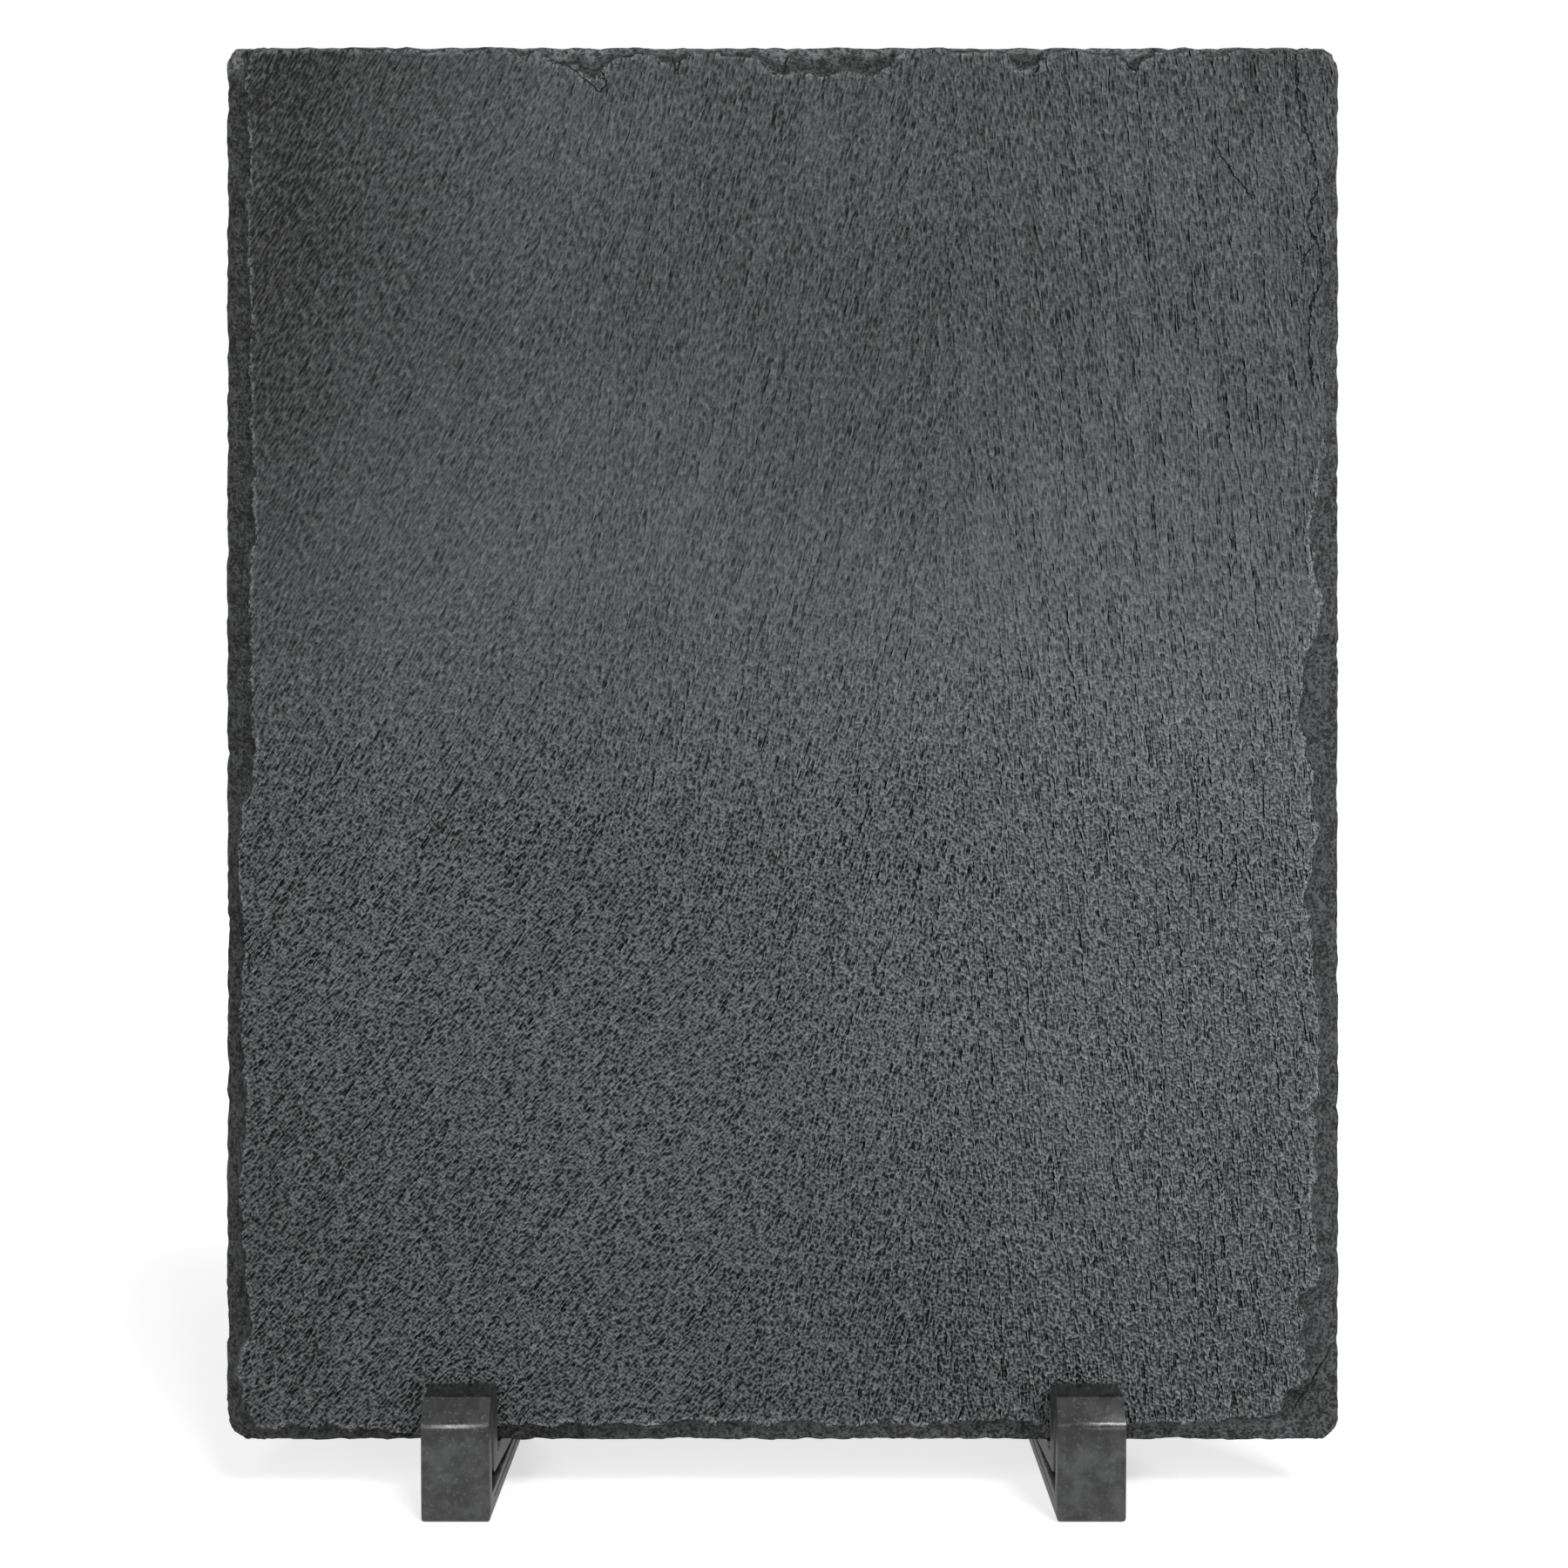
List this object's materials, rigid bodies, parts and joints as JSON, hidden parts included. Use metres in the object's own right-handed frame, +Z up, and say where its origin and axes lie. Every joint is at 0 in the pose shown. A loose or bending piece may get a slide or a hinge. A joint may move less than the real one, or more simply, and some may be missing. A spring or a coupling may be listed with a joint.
{
  "type": "slate display board",
  "caption": "Rectangular riven slate board with knapped edges, standing almost upright in the slots of black moulded plastic feet.",
  "frame": {"origin": "on the floor, at the middle of the overall box", "axes": "+Z up, +X to the right along the board, -Y towards the viewer, so the board's riven face looks along -Y and the feet's braces point along +Y"},
  "size_m": [0.2, 0.056, 0.2591],
  "materials": {
    "slate": "riven, satin",
    "black_plastic": "moulded, semi-gloss"
  },
  "bodies": {
    "foot_left": {"foot_left": "black_plastic"},
    "slate_board": {"slate_board": "slate"},
    "foot_right": {"foot_right": "black_plastic"}
  },
  "joints": [
    {"name": "board_lift", "type": "slide", "parent": "foot_left", "child": "slate_board", "axis": [0, 0.0698, 0.9976], "range_m": [0, 0.04]},
    {"name": "right_foot_slide", "type": "slide", "parent": "foot_left", "child": "foot_right", "axis": [1, 0, 0], "range_m": [-0.09, 0.035]}
  ]
}
